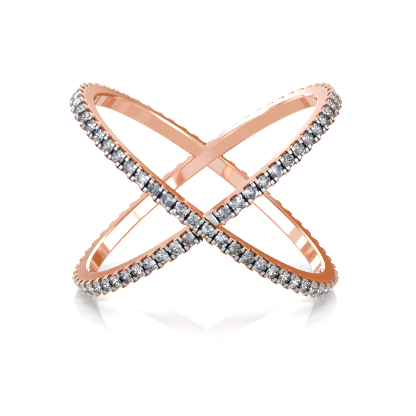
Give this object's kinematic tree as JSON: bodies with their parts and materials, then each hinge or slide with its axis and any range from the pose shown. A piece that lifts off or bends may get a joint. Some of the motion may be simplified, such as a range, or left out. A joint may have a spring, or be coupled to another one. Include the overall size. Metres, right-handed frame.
{
  "type": "crossover ring",
  "caption": "Crossover finger ring: two narrow stone-set bands that cross in an X at the front and at the back.",
  "frame": {"origin": "centre of the finger hole, which is the centre of the whole ring", "axes": "+Z along the finger, -Y towards the front crossing, +X towards the right-hand turns; the ring rests on its two lower turns"},
  "size_m": [0.0206, 0.0204, 0.016],
  "materials": {
    "rose_gold": "polished rose gold",
    "white_prongs": "bright white plating on the prong tips",
    "clear_stone": "clear cut stone, polished facets"
  },
  "bodies": {
    "root": {"ring_bands": "rose_gold", "unbroken_row_stones": "clear_stone", "broken_row_stones": "clear_stone"}
  },
  "joints": []
}
